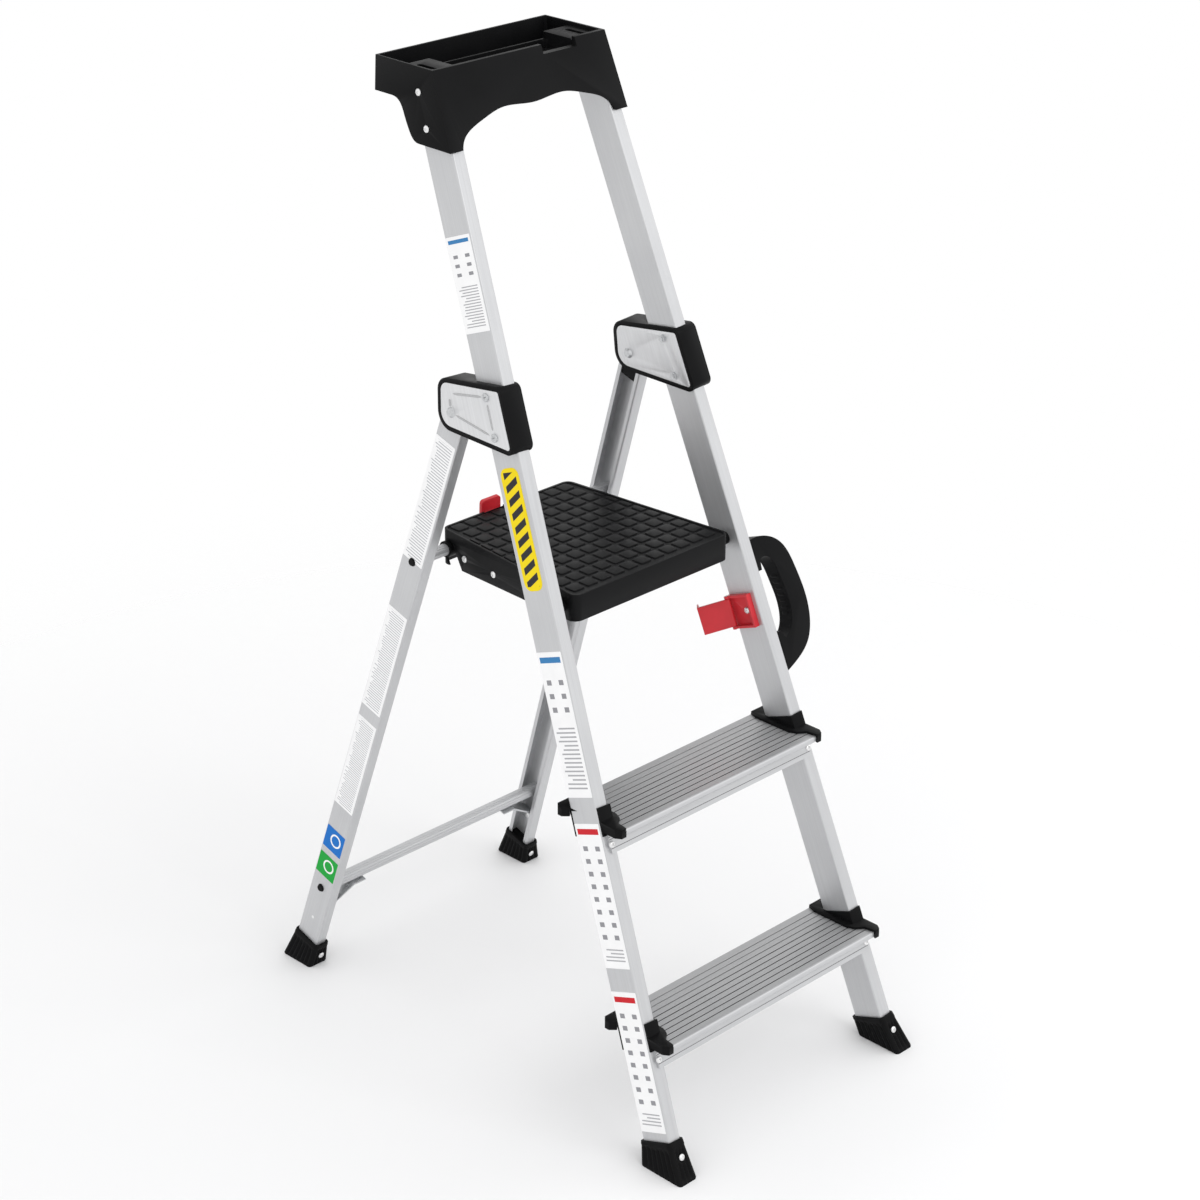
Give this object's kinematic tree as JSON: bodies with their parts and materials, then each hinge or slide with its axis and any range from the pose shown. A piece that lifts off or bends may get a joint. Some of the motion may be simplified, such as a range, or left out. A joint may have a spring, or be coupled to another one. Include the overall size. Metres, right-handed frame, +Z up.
{
  "type": "step ladder",
  "caption": "Folding step ladder with grooved treads, a standing platform, a tool tray on top, a swing-out rear frame and a side carry handle.",
  "frame": {"origin": "on the floor, at the bottom centre of the overall box of the open ladder", "axes": "+X is to the right of someone who faces the treads, +Y runs back under the ladder from the treads to the rear legs, +Z is up"},
  "size_m": [0.4848, 0.7874, 1.318],
  "materials": {
    "aluminium": "satin extruded",
    "plate_aluminium": "pressed sheet",
    "steel": "zinc plated",
    "rivet_aluminium": "satin",
    "black_plastic": "fine moulded grain",
    "red_plastic": "smooth moulded",
    "rubber": "matt"
  },
  "bodies": {
    "front_frame": {"left_stile": "aluminium", "right_stile": "aluminium", "lower_tread": "aluminium", "upper_tread": "aluminium", "lower_tread_cap_left": "black_plastic", "lower_tread_cap_right": "black_plastic", "upper_tread_cap_left": "black_plastic", "upper_tread_cap_right": "black_plastic", "tread_rivets": "rivet_aluminium", "left_front_foot": "rubber", "right_front_foot": "rubber", "front_foot_rivets": "rivet_aluminium", "left_hinge_casing": "black_plastic", "right_hinge_casing": "black_plastic", "left_outer_hinge_plate": "plate_aluminium", "left_inner_hinge_plate": "plate_aluminium", "right_outer_hinge_plate": "plate_aluminium", "right_inner_hinge_plate": "plate_aluminium", "hinge_bolts": "steel", "hinge_nuts": "steel", "hinge_pivot_pins": "steel", "platform_spacers": "black_plastic", "platform_pivot_bolts": "steel", "tool_tray": "black_plastic", "tray_rivets": "rivet_aluminium", "carry_handle": "black_plastic", "handle_screws": "steel", "storage_clip_base": "red_plastic", "storage_clip_pin": "steel", "storage_clip_screw": "steel"},
    "rear_frame": {"left_rear_leg": "aluminium", "right_rear_leg": "aluminium", "left_pivot_block": "black_plastic", "right_pivot_block": "black_plastic", "upper_crossbar": "aluminium", "lower_crossbar": "aluminium", "crossbar_plugs": "black_plastic", "crossbar_sleeves": "black_plastic", "left_brace": "steel", "right_brace": "steel", "brace_rivets": "rivet_aluminium", "left_rear_foot": "rubber", "right_rear_foot": "rubber", "rear_foot_rivets": "rivet_aluminium"},
    "platform": {"platform_deck": "black_plastic", "left_platform_rail": "steel", "right_platform_rail": "steel", "platform_rivets": "rivet_aluminium", "platform_lock_pin": "steel"},
    "platform_lock": {"platform_lock_lever": "red_plastic"},
    "storage_clip": {"storage_clip_lever": "red_plastic"}
  },
  "joints": [
    {"name": "rear_frame_fold", "type": "hinge", "parent": "front_frame", "child": "rear_frame", "pos_m": [-0.01294, 0.0746, 0.90045], "axis": [-1, 0, 0], "range_deg": [0, 39]},
    {"name": "platform_swing", "type": "hinge", "parent": "front_frame", "child": "platform", "pos_m": [-0.01294, -0.08828, 0.681], "axis": [1, 0, 0], "range_deg": [0, 68.8]},
    {"name": "platform_lock_turn", "type": "hinge", "parent": "platform", "child": "platform_lock", "pos_m": [-0.03594, 0.16766, 0.686], "axis": [-1, 0, 0], "range_deg": [0, 25]},
    {"name": "storage_clip_turn", "type": "hinge", "parent": "front_frame", "child": "storage_clip", "pos_m": [0.14232, -0.10589, 0.57892], "axis": [0.0558, -0.3611, -0.9309], "range_deg": [0, 45]}
  ],
  "couplings": [
    {"joint": "platform_swing", "follows": "rear_frame_fold", "ratio": 1.7641}
  ]
}
